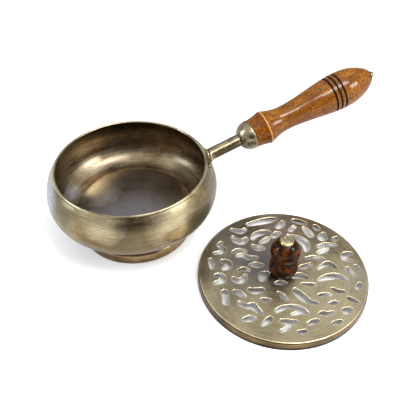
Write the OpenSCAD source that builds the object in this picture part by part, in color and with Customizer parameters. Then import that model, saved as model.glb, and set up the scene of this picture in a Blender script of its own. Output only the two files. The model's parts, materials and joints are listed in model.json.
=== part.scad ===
// Footed brass warming pan with a turned wooden handle, and its loose pierced lid laid beside it.
// Millimetres. Z is up, and the floor is z = 0. The origin is under the middle of the whole set.

/* [Bowl] */
// Height of the rim above the floor
bowl_h = 65; // [60:0.5:80]
// Widest diameter, at the belly
belly_d = 135; // [130:0.5:137]
// Height of the widest place above the floor
belly_z = 42.5; // [40:0.5:50]
// Outer diameter of the rim
rim_d = 119.5; // [114:0.5:122]
// Thickness of the bead round the rim
rim_bead = 1.8; // [1.5:0.1:3]
// Thickness of the brass wall
bowl_wall = 1.4; // [1:0.1:2.2]
// Radius of the curve under the belly
under_r = 21; // [17:0.5:24]
// Depth of the step turned into the inside of the floor
floor_step = 0.5; // [0.2:0.1:0.8]
// How far the turned floor runs out onto the curve under the belly
floor_edge = 1; // [0.5:0.1:2.5]

/* [Foot ring] */
// Diameter of the foot
foot_d = 92; // [89.5:0.5:96]
// Height of the foot's upright band
foot_band = 8; // [5:0.5:12]
// Diameter of the neck between the band and the bowl
foot_neck_d = 88; // [82:0.5:90]
// Rise of the ledge between the band and the neck
foot_ledge = 1; // [0.4:0.1:2]
// Thickness of the foot's wall
foot_wall = 1.8; // [1.2:0.1:3]

/* [Handle] */
// Turn of the handle about the bowl, in degrees
handle_turn = 23.4; // [15:0.1:30]
// Rise of the handle, in degrees
handle_rise = 15; // [5:0.5:20]
// Height at which the rod's axis meets the bowl
handle_z = 53.1; // [50:0.1:55]
// Diameter of the brass rod
rod_d = 10.5; // [8:0.1:12]
// How far the full rod reaches into the cup's hollow
rod_in_cup = 1; // [0.5:0.1:1.5]
// Bare length of rod between the bowl and the cup
rod_l = 27.5; // [22:0.5:60]
// Diameter of the tang that runs through the grip
tang_d = 4; // [3:0.1:5]
// Outer diameter of the cup
cup_d = 24.8; // [24:0.1:28]
// Length of the straight band at the cup's open end
cup_band = 1; // [0.5:0.1:4]
// Thickness of the cup's wall
cup_wall = 1.5; // [1:0.1:2]

/* [Bracket] */
// Thickness of the strap under the rim
strap_t = 0.7; // [0.4:0.1:0.8]
// Height of the strap's arms
strap_h = 3.2; // [2:0.1:3.4]
// Length of the strap from tip to tip
strap_l = 48; // [30:1:60]
// Width of the rounded pad under the rod
pad_w = 14.5; // [13:0.5:16]
// Gap between the strap and the rim's bead
strap_gap = 0.9; // [0.6:0.1:1.4]

/* [Wooden grip] */
// Length of the grip beyond the cup
grip_l = 112.5; // [95:0.5:140]
// Diameter beside the cup
grip_front_d = 24.2; // [22:0.1:25]
// Diameter of the sharp ridge
ridge_d = 28.8; // [25.5:0.1:31]
// Distance of the ridge from the cup
ridge_at = 12.5; // [8:0.5:18]
// Diameter of the waist
waist_d = 20.8; // [14:0.1:23]
// Distance of the waist from the cup
waist_at = 30.5; // [26:0.5:42]
// Diameter of the swell near the end
swell_d = 31.4; // [25:0.1:34]
// Distance of the swell from the grip's end
swell_back = 27; // [20:0.5:28]
// Diameter of the grip's end face
grip_end_d = 13.6; // [12:0.1:16]
// Slope at which the swell falls away to the end
end_slope = 0.7; // [0.4:0.1:0.9]
// Rounding of the edge round the end face
grip_round = 0.5; // [0.3:0.1:1]
// Depth to which the wood goes into the cup
spigot_l = 6; // [4:0.5:7]
// Room left between the wood and the bottom of the cup
spigot_room = 2; // [1:0.1:3]
// Number of burnt rings
burnt_rings = 3; // [1:1:5]
// Distance between burnt rings
burnt_step = 4.1; // [3:0.1:6]
// Distance of the last burnt ring from the grip's end
burnt_back = 29.8; // [28.5:0.1:36]
// Width of a burnt ring
burnt_w = 1.5; // [0.8:0.1:2]

/* [Handle end] */
// Diameter of the black washer
end_washer_d = 11.5; // [8:0.1:12.5]
// Thickness of the black washer
end_washer_t = 1.8; // [1:0.1:3]
// Diameter of the small domed nut
end_nut_d = 6; // [5.5:0.1:7]
// Length of the small domed nut
end_nut_l = 4.6; // [4:0.1:7]

/* [Lid] */
// Diameter of the lid's top
lid_d = 130; // [128:0.5:136]
// Height of the lid's edge
lid_h = 7.1; // [6.9:0.1:10]
// Thickness of the lid's band
lid_wall = 0.8; // [0.6:0.1:1.2]
// Thickness of the pierced plate
plate_t = 1.2; // [0.8:0.1:1.6]
// Outward flare of the band at its bottom edge
lid_flare = 0.5; // [0:0.1:1]
// Rounding of the lid's outer top edge
lid_round = 1.2; // [0.8:0.1:2]
// Width of the plain border that belongs to the band
lip_w = 3; // [2:0.1:4]
// Distance of the lid's middle to the right of the bowl's middle
lid_right = 117.9; // [95:0.1:140]
// Distance of the lid's middle in front of the bowl's middle
lid_front = 59.7; // [59:0.1:80]

/* [Knob] */
// Diameter of the lower lobe
lobe_d = 22; // [18:0.1:24]
// Height of the lower lobe's middle above the plate
lobe_z = 7.1; // [6:0.1:8]
// Diameter of the neck
neck_d = 17.6; // [14:0.1:19]
// Diameter of the upper ball
ball_d = 22.4; // [20:0.1:26]
// Height of the ball's middle above the plate
ball_z = 23; // [21:0.1:26]
// Diameter of the brass eyelet on top
cap_d = 10.2; // [8:0.1:12]
// Thickness of the brass eyelet
cap_t = 1.9; // [1:0.1:3]
// Diameter of the steel stud
stud_d = 4.5; // [3.5:0.1:4.8]
// How far the stud stands out past the eyelet
stud_head = 0.3; // [0.1:0.1:1]
// How far the stud stands out past its nut
stud_tail = 0.8; // [0.2:0.1:1.4]
// Diameter of the washer under the plate
lid_washer_d = 12; // [10:0.5:18]
// Thickness of the washer under the plate
lid_washer_t = 0.8; // [0.5:0.1:1]
// Width of the nut under the plate, across its flats
lid_nut_w = 7.5; // [6.5:0.1:10]
// Thickness of the nut under the plate
lid_nut_t = 2.6; // [2:0.1:2.8]

/* [Fits] */
// Radial clearance round the rod, the tang and the stud
bore_gap = 0.1; // [0.05:0.05:0.2]
// Radial clearance of the wooden spigot in the cup
spigot_gap = 0.15; // [0.05:0.05:0.3]

/* [Hidden] */
$fn = 96;
far = 400;
// How far a cutting shape stands past the face that it cuts
proud = 0.5;

// The bowl's curves: one arc from the belly up to the rim, and one from the belly down to the floor
belly_r = belly_d / 2;
rim_r = rim_d / 2;
bead_r = rim_bead / 2;
bead_z = bowl_h - bead_r;
rise = bead_z - belly_z;
lean = belly_r - rim_r;
shoulder_r = (rise * rise + lean * lean) / (2 * lean);
shoulder_c = belly_r - shoulder_r;
under_c = belly_r - under_r;
foot_h = belly_z - under_r;
floor_z = foot_h + bowl_wall - floor_step;
arc_steps = 16;
function shoulder_at(z) = shoulder_c + sqrt(pow(shoulder_r, 2) - pow(z - belly_z, 2));
function arc(x, z, r, from, to) =
    [for (i = [0 : arc_steps])
        let (a = from + (to - from) * i / arc_steps) [x + r * cos(a), z + r * sin(a)]];
function shoulder_line(out, top) =
    arc(shoulder_c, belly_z, shoulder_r + out, 0, asin((top - belly_z) / (shoulder_r + out)));
function under_line(out, end) =
    arc(under_c, belly_z, under_r + out, -acos((end - under_c) / (under_r + out)), 0);
function backward(line) = [for (i = [len(line) - 1 : -1 : 0]) line[i]];

// Places along the handle, measured from the bowl's wall
handle_r = shoulder_at(handle_z);
cup_at = rod_l;
cup_r = cup_d / 2;
cup_end = cup_at + cup_r + cup_band;
spigot_r = cup_r - cup_wall - spigot_gap;
cup_floor = cup_end - spigot_l - spigot_room;
rod_end = cup_floor + rod_in_cup;
grip_end = cup_end + grip_l;
washer_end = grip_end + end_washer_t;
nut_end = washer_end + end_nut_l;
nut_r = end_nut_d / 2;

// The grip's outline: distance from the cup, and radius
swell_at = grip_l - swell_back;
function blend_r(t, from, to, fall, span) =
    from * (1 - 3 * t * t + 2 * t * t * t) + to * (3 * t * t - 2 * t * t * t)
    + fall * span * (t * t - t * t * t);
front_line = [for (t = [0 : 0.25 : 1])
    [ridge_at * t, (grip_front_d + (ridge_d - grip_front_d) * pow(t, 1.6)) / 2]];
hollow_line = [for (t = [0.1 : 0.1 : 1])
    [ridge_at + (waist_at - ridge_at) * t, (waist_d + (ridge_d - waist_d) * (1 - sin(90 * t))) / 2]];
long_line = [for (t = [0.0625 : 0.0625 : 1])
    [waist_at + (swell_at - waist_at) * t,
     blend_r(t, waist_d / 2, swell_d / 2, 0, swell_at - waist_at)]];
round_line = [for (t = [0.1 : 0.1 : 1])
    [swell_at + (swell_back - grip_round) * t,
     blend_r(t, swell_d / 2, grip_end_d / 2 + 2 * grip_round, end_slope, swell_back - grip_round)]];
grip_line = concat(front_line, hollow_line, long_line, round_line, [[grip_l, grip_end_d / 2]]);

// The lid and its knob
lid_r = lid_d / 2;
plate_r = lid_r - lip_w;
plate_z = lid_h - plate_t;
ball_r = ball_d / 2;
cap_r = cap_d / 2;
cap_z = lid_h + ball_z + sqrt(ball_r * ball_r - cap_r * cap_r);
washer_z = plate_z - lid_washer_t;
nut_z = washer_z - lid_nut_t;
stud_low = nut_z - stud_tail;
stud_top = cap_z + cap_t + stud_head;

// The middle of the whole set, so that the origin lies under it
ux = cos(handle_rise) * cos(handle_turn);
uy = cos(handle_rise) * sin(handle_turn);
handle_line = concat([for (p = grip_line) [cup_end + p[0], p[1]]], [[nut_end - nut_r, nut_r]]);
handle_xs = [for (p = handle_line) handle_r * cos(handle_turn) + p[0] * ux + p[1] * sqrt(1 - ux * ux)];
handle_ys = [for (p = handle_line) handle_r * sin(handle_turn) + p[0] * uy + p[1] * sqrt(1 - uy * uy)];
nut_tip_x = handle_r * cos(handle_turn) + (nut_end - nut_r) * ux + nut_r;
left_x = -belly_r;
right_x = max(max(handle_xs), nut_tip_x, lid_right + lid_r + lid_flare);
front_y = -lid_front - lid_r - lid_flare;
back_y = max(max(handle_ys), belly_r);
pan_x = -(left_x + right_x) / 2;
pan_y = -(front_y + back_y) / 2;
lid_x = pan_x + lid_right;
lid_y = pan_y - lid_front;

// The piercings: each stroke is a list of [right, back, half width], and the lid is this many steps wide
lid_steps = 130;
strokes = [
    // Row nearest the back edge
    [[-24, 51, 1.6], [-16, 53.5, 2.8], [-7, 56, 3.2], [-1, 57.5, 2]],
    [[5.5, 54, 1.8], [4, 50.5, 2.8], [0.5, 47.5, 1.6]],
    [[15, 55.8, 2], [19, 54.5, 2.5], [24, 52.3, 1.7]],
    [[14.3, 48.2, 1.9], [11, 44.2, 1.8]],
    [[22.5, 47, 1.7], [25, 43, 2.8], [27, 38.5, 2.6]],
    [[32, 49.5, 1.4], [33.2, 46.5, 2.8]],
    [[37.6, 39.8, 2.2], [36, 36, 4]],
    [[47.6, 36, 1.1], [45.8, 34, 2.2]],
    // Left side, from the back to the front
    [[-37.5, 45, 1.4], [-33.5, 43.5, 2.2], [-29.5, 43, 2.4], [-26.5, 45.5, 1.3]],
    [[-37, 36.5, 1.4], [-34.5, 32.5, 2.6], [-29.5, 31.2, 2.8], [-26.3, 34.5, 1.6]],
    [[-21, 35, 1.6], [-18.5, 39, 2.4], [-13, 41.8, 2.5], [-7, 42.5, 1.7]],
    [[-14.5, 30.3, 1.2], [-11, 32.5, 2], [-8.2, 35.5, 1.3]],
    [[-4.3, 37, 1.7], [-1, 40, 2.5], [1.5, 41, 1.4]],
    [[-46.6, 30.4, 1.1], [-49, 27.4, 1.3], [-45, 24, 1.9], [-46.5, 20, 1.7], [-52, 18.8, 1.1]],
    [[-21, 27, 1.3], [-18, 24.5, 2.6], [-14.2, 24, 2.2]],
    [[-37.5, 20, 1.1], [-33, 22, 1.7], [-27.8, 20.5, 1.4]],
    [[-34, 16, 1.3], [-29.5, 16.5, 1.8], [-25.5, 14, 1.9], [-19.5, 14, 1.3]],
    [[-55.2, 11.8, 1.6], [-54.6, 8, 2.1], [-54.3, 3.4, 1.3]],
    [[-46.5, 10.6, 1.3], [-42.5, 9.5, 2.2], [-41.5, 5.5, 2.4], [-45.5, 2.3, 1.4]],
    [[-24.5, 6.5, 0.8], [-20, 6.5, 2.6], [-15.3, 6.5, 0.8]],
    [[-33.5, 0.8, 1.1], [-30, 2.6, 1.6], [-26.3, 1.2, 1.3]],
    [[-38, -7, 1.4], [-35, -9.5, 2.2], [-31, -8.5, 2.2], [-29.2, -4.5, 1.4]],
    [[-11.5, -1.7, 1.4], [-15.5, -3.5, 2.8], [-16.5, -8, 1.9]],
    [[-51.5, -4, 1.2], [-47.3, -4, 2.1], [-46.3, -9, 2.2], [-52, -11.8, 1.3]],
    [[-26, -17.8, 1.7], [-22.5, -19.3, 2.6], [-17, -17.7, 1.7]],
    [[-45.2, -20.3, 2.5], [-44.6, -25, 1.8], [-44.6, -29.6, 2.3]],
    [[-38, -19.5, 1.2], [-34.3, -20.8, 2.1], [-30.5, -24.5, 1.3]],
    [[-17.8, -27, 1.1], [-14.7, -27.7, 1.8], [-12, -27.2, 1]],
    [[-34, -30.5, 1.9], [-29.5, -33, 1.9], [-24.5, -32.8, 2.9]],
    [[-25, -33, 2.6], [-22, -36.3, 2.1], [-19.3, -38.8, 1.3]],
    [[-31.5, -44.5, 1.3], [-27.8, -44, 2.5], [-24.6, -43.2, 1.6]],
    [[-13.2, -43.7, 1.7], [-15.3, -46, 2], [-18.8, -49.2, 0.9]],
    // Middle, round the knob
    [[8.5, 37.8, 1.6], [14.5, 35.8, 2.6], [20, 31.8, 3.4], [21.7, 26.5, 2.8], [21, 21.8, 1.6]],
    [[13.7, 3.8, 0.9], [17, 4.8, 2], [22.5, 7.3, 1]],
    [[7.5, -6, 1.1], [12.5, -4, 2.4], [18, -6.3, 1.2]],
    [[13.8, -12.5, 1.1], [18.5, -13.1, 1.6], [23, -13, 1]],
    [[-6.3, -12, 1.1], [-2.5, -11, 2.4], [1.3, -12, 1.1]],
    [[-5.3, -20.6, 1], [-2.8, -23, 1.8], [-1.2, -26, 1.6], [1.4, -27, 0.9]],
    [[7.7, -18, 1.7], [10, -22, 3], [14, -26.5, 2.8], [18, -29.2, 1.6], [22, -30, 1.2]],
    [[-8, -37.3, 1.4], [-4.5, -35, 1.8], [0.5, -33.2, 1.2], [6, -33.7, 1.8], [10.3, -36.5, 2.6],
     [13.5, -38.8, 1.2]],
    [[9.5, -37.5, 1.8], [6, -39.3, 1.2], [2.8, -40.2, 0.7]],
    [[-5.2, -45.6, 1.2], [-1.5, -46.6, 2.1], [5.2, -46.4, 0.9]],
    [[-1.6, -47, 2], [-1, -51, 1.6], [-5.8, -54.2, 1.1]],
    // Right side, from the back to the front
    [[31.5, 25.8, 1.5], [36.5, 27.8, 2], [45, 27.6, 1.4]],
    [[37.5, 27, 2], [36.5, 22.5, 2.2], [30.5, 19.3, 1.5]],
    [[56.5, 18.3, 1.2], [51.5, 17.5, 2.3], [49.8, 12.8, 2], [54.5, 11, 1.1]],
    [[20.3, 13.5, 1.1], [26, 14.3, 1.8], [32.8, 12.2, 1.6]],
    [[28.3, 2.8, 1], [32, 6, 1.6], [37, 8.2, 2], [41, 4.6, 1.7]],
    [[57.3, 5.3, 1.4], [58.6, 2, 1.5]],
    [[50.7, 3, 1.3], [52.2, -0.8, 1.9], [54.6, -4.8, 1.1]],
    [[26.8, -8.8, 1], [31.2, -6.5, 2.3], [37, -5, 2.8], [43, -5.2, 2.2], [47.6, -8.2, 1.1]],
    [[57, -12.8, 1.6], [54.6, -16, 2.2]],
    [[35.7, -17, 1.1], [39, -19, 1.5], [44, -19.7, 1]],
    [[24.7, -23, 1], [29, -22.4, 1.4], [33.3, -22.7, 1.1]],
    [[46, -25.6, 1.3], [49, -27.6, 1.6], [52, -29.3, 1.1]],
    [[31.3, -31, 1], [34, -30, 1.5], [36.3, -29.5, 1.2]],
    [[22.6, -39.8, 0.9], [25, -38.9, 1.4], [28.5, -39.8, 1.5], [32.3, -38.5, 1.1]],
    [[45, -35.8, 1.9], [42, -37.3, 3]],
    [[13.7, -48.2, 1.1], [17, -46.6, 1.6], [20.3, -45.2, 1.1]],
    [[31, -48, 1.1], [34, -47, 1.4], [37, -46, 0.9]],
    [[6.2, -55, 1.1], [8.5, -54.9, 1.4], [10.7, -54.2, 1]]
];
stroke_steps = 3;
function knot(s, i) = s[min(max(i, 0), len(s) - 1)];
function curve(a, b, c, d, t) =
    (2 * b + (c - a) * t + (2 * a - 5 * b + 4 * c - d) * t * t + (3 * b - a - 3 * c + d) * t * t * t) / 2;
function spine(s) = concat(
    [for (i = [0 : len(s) - 2]) for (k = [0 : stroke_steps - 1])
        curve(knot(s, i - 1), s[i], s[i + 1], knot(s, i + 2), k / stroke_steps)],
    [s[len(s) - 1]]);
function heading(s, i) =
    let (a = knot(s, i - 1), b = knot(s, i + 1)) atan2(b[1] - a[1], b[0] - a[0]);
function spot(p, angle) = [p[0] + p[2] * cos(angle), p[1] + p[2] * sin(angle)];
function stroke_outline(s) =
    let (line = spine(s), last = len(line) - 1)
    concat(
        [for (i = [0 : last]) spot(line[i], heading(line, i) - 90)],
        [for (a = [-45 : 45 : 45]) spot(line[last], heading(line, last) + a)],
        [for (i = [last : -1 : 0]) spot(line[i], heading(line, i) + 90)],
        [for (a = [135 : 45 : 225]) spot(line[0], heading(line, 0) + a)]);

brass = "#a8905c";
dark_brass = "#6f5c36";
wood = "#b5651d";
dark_wood = "#5a2410";
steel = "#9a9a96";
black = "#1c1a18";

module at_pan() {
    translate([pan_x, pan_y, 0]) children();
}

module at_lid() {
    translate([lid_x, lid_y, 0]) children();
}

// Puts a piece on the handle's axis, that far from the bowl's wall, with its own Z along the handle
module on_handle(s) {
    at_pan() rotate([0, 0, handle_turn]) translate([handle_r, 0, handle_z])
        rotate([0, 90 - handle_rise, 0]) translate([0, 0, s]) children();
}

module bowl() {
    color(brass) at_pan() rotate_extrude() polygon(concat(
        [[0, foot_h]],
        under_line(0, under_c),
        shoulder_line(0, bead_z),
        arc(rim_r - bead_r, bead_z, bead_r, 0, 180),
        backward(shoulder_line(-bowl_wall, bead_z - bead_r)),
        backward(under_line(-bowl_wall, under_c + floor_edge)),
        [[under_c + floor_edge, floor_z], [0, floor_z]]));
}

module foot_ring() {
    color(brass) at_pan() rotate_extrude() polygon([
        [foot_d / 2 - foot_wall, 0],
        [foot_d / 2, 0],
        [foot_d / 2, foot_band],
        [foot_neck_d / 2, foot_band + foot_ledge],
        [foot_neck_d / 2, foot_h],
        [foot_neck_d / 2 - foot_wall, foot_h],
        [foot_neck_d / 2 - foot_wall, foot_band],
        [foot_d / 2 - foot_wall, foot_band - foot_ledge]
    ]);
}

// Everything inside the shoulder's curve, let out by the given amount
module shoulder_body(out) {
    line = shoulder_line(out, bead_z);
    rotate_extrude() polygon(concat([[0, belly_z]], line, [[0, line[arc_steps][1]]]));
}

strap_top = bowl_h - rim_bead - strap_gap;
strap_mid = strap_top - strap_h / 2;
module strap_outline() {
    translate([strap_mid, 0]) {
        square([strap_h, strap_l - strap_h], center = true);
        for (side = [-1, 1]) translate([0, side * (strap_l - strap_h) / 2]) circle(d = strap_h);
    }
    translate([handle_z, 0]) circle(d = pad_w);
    translate([handle_z, -pad_w / 2]) square([strap_mid - handle_z, pad_w]);
}

module handle_bracket() {
    color(brass) at_pan() rotate([0, 0, handle_turn]) intersection() {
        rotate([0, -90, 0]) mirror([0, 0, 1]) linear_extrude(belly_d) strap_outline();
        difference() {
            shoulder_body(strap_t);
            shoulder_body(0);
        }
    }
}

module handle_rod() {
    color(brass) difference() {
        union() {
            on_handle(-pad_w / 2) cylinder(d = rod_d, h = rod_end + pad_w / 2);
            on_handle(cup_at) cylinder(d = tang_d, h = washer_end + nut_r - cup_at);
        }
        at_pan() shoulder_body(strap_t);
    }
}

module handle_cup() {
    color(brass) on_handle(cup_at) rotate_extrude() difference() {
        union() {
            intersection() {
                translate([0, cup_r]) circle(r = cup_r);
                square([cup_r, cup_r]);
            }
            translate([0, cup_r]) square([cup_r, cup_band]);
        }
        square([rod_d / 2 + bore_gap, cup_end]);
        intersection() {
            translate([0, cup_r]) circle(r = cup_r - cup_wall);
            translate([0, cup_floor - cup_at]) square([cup_r, cup_r]);
        }
        translate([0, cup_r]) square([cup_r - cup_wall, cup_end]);
    }
}

// The wood inside the cup, kept within the cup's round inside
module spigot_section() {
    intersection() {
        translate([tang_d / 2 + bore_gap, -spigot_l]) square([spigot_r, spigot_l + proud]);
        union() {
            translate([0, -cup_band]) circle(r = spigot_r);
            translate([0, -cup_band]) square([spigot_r, cup_band + proud]);
        }
    }
}

module burnt_ring(at) {
    rotate_extrude() translate([lookup(at, grip_line), at]) circle(d = burnt_w, $fn = 24);
}

module grip() {
    color(wood) on_handle(cup_end) difference() {
        rotate_extrude(convexity = 4) {
            polygon(concat(
                [[tang_d / 2 + bore_gap, 0]],
                [for (p = grip_line) [p[1], p[0]]],
                [[tang_d / 2 + bore_gap, grip_l]]));
            spigot_section();
        }
        for (i = [0 : burnt_rings - 1]) burnt_ring(grip_l - burnt_back - i * burnt_step);
    }
}

module end_washer() {
    color(black) on_handle(grip_end) difference() {
        cylinder(d = end_washer_d, h = end_washer_t);
        translate([0, 0, -proud]) cylinder(r = tang_d / 2 + bore_gap, h = end_washer_t + 2 * proud);
    }
}

module end_nut() {
    color(brass) on_handle(washer_end) difference() {
        union() {
            cylinder(r = nut_r, h = end_nut_l - nut_r);
            translate([0, 0, end_nut_l - nut_r]) sphere(r = nut_r);
        }
        translate([0, 0, -proud]) cylinder(r = tang_d / 2 + bore_gap, h = nut_r + bore_gap + proud);
        translate([0, 0, -nut_r]) cube([end_nut_d, end_nut_d, 2 * nut_r], center = true);
    }
}

module lid_plate() {
    color(brass) at_lid() translate([0, 0, plate_z]) linear_extrude(plate_t, convexity = 20) difference() {
        circle(r = plate_r);
        circle(r = stud_d / 2 + bore_gap);
        scale(lid_d / lid_steps) for (s = strokes) polygon(stroke_outline(s));
    }
}

module lid_band() {
    low_r = lid_r + lid_flare;
    color(dark_brass) at_lid() rotate_extrude() polygon(concat(
        [[low_r - lid_wall, 0], [low_r, 0]],
        arc(lid_r - lid_round, lid_h - lid_round, lid_round, 0, 90),
        [[plate_r, lid_h], [plate_r, plate_z], [lid_r - lid_wall, plate_z]]));
}

module lid_knob() {
    color(dark_wood) at_lid() translate([0, 0, lid_h]) rotate_extrude(convexity = 4) difference() {
        union() {
            translate([0, lobe_z]) circle(d = lobe_d);
            translate([0, ball_z]) circle(d = ball_d);
            translate([0, lobe_z]) square([neck_d / 2, ball_z - lobe_z]);
        }
        translate([-far, -far / 2]) square([far + stud_d / 2 + bore_gap, far]);
        translate([0, -far]) square([far, far]);
        translate([0, cap_z - lid_h]) square([far, far]);
    }
}

module knob_cap() {
    color(brass) at_lid() translate([0, 0, cap_z]) difference() {
        intersection() {
            cylinder(r = cap_r, h = cap_t);
            translate([0, 0, cap_t - 2 * cap_r]) sphere(r = 2 * cap_r);
        }
        translate([0, 0, -proud]) cylinder(r = stud_d / 2 + bore_gap, h = cap_t + 2 * proud);
    }
}

module knob_stud() {
    color(steel) at_lid() translate([0, 0, stud_low]) cylinder(d = stud_d, h = stud_top - stud_low);
}

module lid_washer() {
    color(steel) at_lid() translate([0, 0, washer_z]) difference() {
        cylinder(d = lid_washer_d, h = lid_washer_t);
        translate([0, 0, -proud]) cylinder(r = stud_d / 2 + bore_gap, h = lid_washer_t + 2 * proud);
    }
}

module lid_nut() {
    color(steel) at_lid() translate([0, 0, nut_z]) difference() {
        cylinder(r = lid_nut_w / 2 / cos(30), h = lid_nut_t, $fn = 6);
        translate([0, 0, -proud]) cylinder(r = stud_d / 2 + bore_gap, h = lid_nut_t + 2 * proud);
    }
}

bowl();
foot_ring();
handle_bracket();
handle_rod();
handle_cup();
grip();
end_washer();
end_nut();
lid_plate();
lid_band();
lid_knob();
knob_cap();
knob_stud();
lid_washer();
lid_nut();
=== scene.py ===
# %% [markdown]
# # A footed brass warming pan with a loose pierced lid
# The pan is a spun brass bowl on a foot ring, with a short rod, a hollow brass cup and a turned wooden
# grip. Beside it lies its lid, a pierced brass disc with a turned-down edge and a turned knob.
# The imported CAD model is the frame, which gives each piece its place. Sizes are written in millimetres, as
# on a drawing, and MM turns them into metres.

import json
import math

import bpy
from mathutils import Matrix, Vector

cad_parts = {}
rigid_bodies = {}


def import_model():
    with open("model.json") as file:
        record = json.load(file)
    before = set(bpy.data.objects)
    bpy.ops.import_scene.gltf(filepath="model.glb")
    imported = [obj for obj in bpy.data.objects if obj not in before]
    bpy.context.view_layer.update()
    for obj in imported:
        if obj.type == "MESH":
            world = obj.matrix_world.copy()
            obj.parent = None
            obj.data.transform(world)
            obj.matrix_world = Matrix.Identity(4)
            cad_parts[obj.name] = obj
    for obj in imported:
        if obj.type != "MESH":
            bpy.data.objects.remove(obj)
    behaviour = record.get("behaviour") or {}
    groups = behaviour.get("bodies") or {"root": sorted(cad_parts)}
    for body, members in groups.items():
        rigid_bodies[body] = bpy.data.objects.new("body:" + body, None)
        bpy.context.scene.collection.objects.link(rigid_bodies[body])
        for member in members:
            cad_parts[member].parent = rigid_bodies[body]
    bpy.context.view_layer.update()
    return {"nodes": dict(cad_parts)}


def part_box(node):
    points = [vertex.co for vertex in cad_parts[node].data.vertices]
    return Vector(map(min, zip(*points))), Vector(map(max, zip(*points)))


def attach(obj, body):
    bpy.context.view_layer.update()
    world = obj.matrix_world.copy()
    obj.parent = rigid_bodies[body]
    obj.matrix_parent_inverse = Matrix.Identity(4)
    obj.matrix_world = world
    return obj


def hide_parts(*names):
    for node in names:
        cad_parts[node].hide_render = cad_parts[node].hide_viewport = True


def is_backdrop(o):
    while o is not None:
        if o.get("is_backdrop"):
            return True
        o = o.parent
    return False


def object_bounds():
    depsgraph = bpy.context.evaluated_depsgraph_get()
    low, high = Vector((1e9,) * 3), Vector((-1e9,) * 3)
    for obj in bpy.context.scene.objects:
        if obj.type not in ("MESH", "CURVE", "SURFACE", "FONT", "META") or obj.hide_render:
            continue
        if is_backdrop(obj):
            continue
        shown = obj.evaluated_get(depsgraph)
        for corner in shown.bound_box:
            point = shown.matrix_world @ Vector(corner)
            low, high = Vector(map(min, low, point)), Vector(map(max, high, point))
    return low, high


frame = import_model()
MM = 0.001

# %% [markdown]
# From the belly up to the rim the bowl follows one arc, which stands upright at the belly. Its radius follows
# from how far the rim lies in and up from there. The handle starts on this arc, so it is worked out first.

# %% The arc of the shoulder
BELLY_R, BELLY_Z = 67.5, 42.5
RIM_R, BOWL_H, BEAD_R = 59.75, 65.0, 0.9
BEAD_Z = BOWL_H - BEAD_R
SHOULDER_R = ((BEAD_Z - BELLY_Z) ** 2 + (BELLY_R - RIM_R) ** 2) / (2 * (BELLY_R - RIM_R))
SHOULDER_C = BELLY_R - SHOULDER_R


def shoulder_at(z, inward=0.0):
    """The bowl's radius at a height above the belly, outside or so much further in."""
    return SHOULDER_C + math.sqrt((SHOULDER_R - inward) ** 2 - (z - BELLY_Z) ** 2)


print("radius of the shoulder's arc in mm:", round(SHOULDER_R, 3))

# %% [markdown]
# Nearly everything here was made on a lathe, so the pieces share three axes. The pan's and the lid's stand
# straight up, and come from the boxes of the foot ring and of the lid's band. The handle's leaves the bowl's
# shoulder, turned to the right and rising a little.

# %% The three axes
foot_low, foot_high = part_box("foot_ring")
band_low, band_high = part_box("lid_band")
pan_axis = (foot_low + foot_high) / 2
lid_axis = (band_low + band_high) / 2
HANDLE_TURN = math.radians(23.4)
HANDLE_RISE = math.radians(15)
HANDLE_Z = 53.1
on_pan = Matrix.Translation((pan_axis.x, pan_axis.y, 0))
on_lid = Matrix.Translation((lid_axis.x, lid_axis.y, 0))
on_handle = (
    on_pan
    @ Matrix.Rotation(HANDLE_TURN, 4, "Z")
    @ Matrix.Translation((shoulder_at(HANDLE_Z) * MM, 0, HANDLE_Z * MM))
    @ Matrix.Rotation(math.pi / 2 - HANDLE_RISE, 4, "Y")
)
print("pan axis in mm:", round(pan_axis.x / MM, 2), round(pan_axis.y / MM, 2))
print("lid axis in mm:", round(lid_axis.x / MM, 2), round(lid_axis.y / MM, 2))

# %% [markdown]
# The camera looks down on the set from in front, a little to the right of the bowl. Its place and its lens
# were worked out from the ellipses of the rim, the foot and the lid.

# %% The camera
CAMERA_FROM_PAN = Vector((60.44, -333.0, 328.1))
CAMERA_TILT = math.radians(47.04)
camera_eye = bpy.data.cameras.new("camera")
camera_eye.lens = 47.08
camera_eye.sensor_width = 36
camera = bpy.data.objects.new("camera", camera_eye)
camera.location = on_pan @ (CAMERA_FROM_PAN * MM)
camera.rotation_euler = (CAMERA_TILT, 0, 0)
bpy.context.scene.collection.objects.link(camera)
bpy.context.scene.camera = camera
print("camera at:", [round(v, 3) for v in camera.location])

# %% [markdown]
# A lathe piece is drawn as half a section, a line of (radius, height) points, and swept round its axis.
# It could be a curve with a Screw modifier. Here a circle is extruded from point to point and resized each
# time, which is how it is built by hand, and the rings stay even all the way round.

# %% Lathe tools
POLE = 0.004  # mm, a ring this small is merged into one point


def arc(x, z, r, start, end, steps):
    """Points on an arc of a section, from angle to angle in degrees."""
    turns = [math.radians(start + (end - start) * i / steps) for i in range(steps + 1)]
    return [(x + r * math.cos(a), z + r * math.sin(a)) for a in turns]


def choose(*things):
    """Only these are selected, and the first is active."""
    bpy.ops.object.select_all(action="DESELECT")
    for thing in things:
        thing.select_set(True)
    bpy.context.view_layer.objects.active = things[0]


def close_up(gap):
    """Merges what touches, and points all faces outwards."""
    bpy.ops.object.mode_set(mode="EDIT")
    bpy.ops.mesh.select_all(action="SELECT")
    bpy.ops.mesh.remove_doubles(threshold=gap * MM)
    bpy.ops.mesh.normals_make_consistent(inside=False)
    bpy.ops.object.mode_set(mode="OBJECT")


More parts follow.
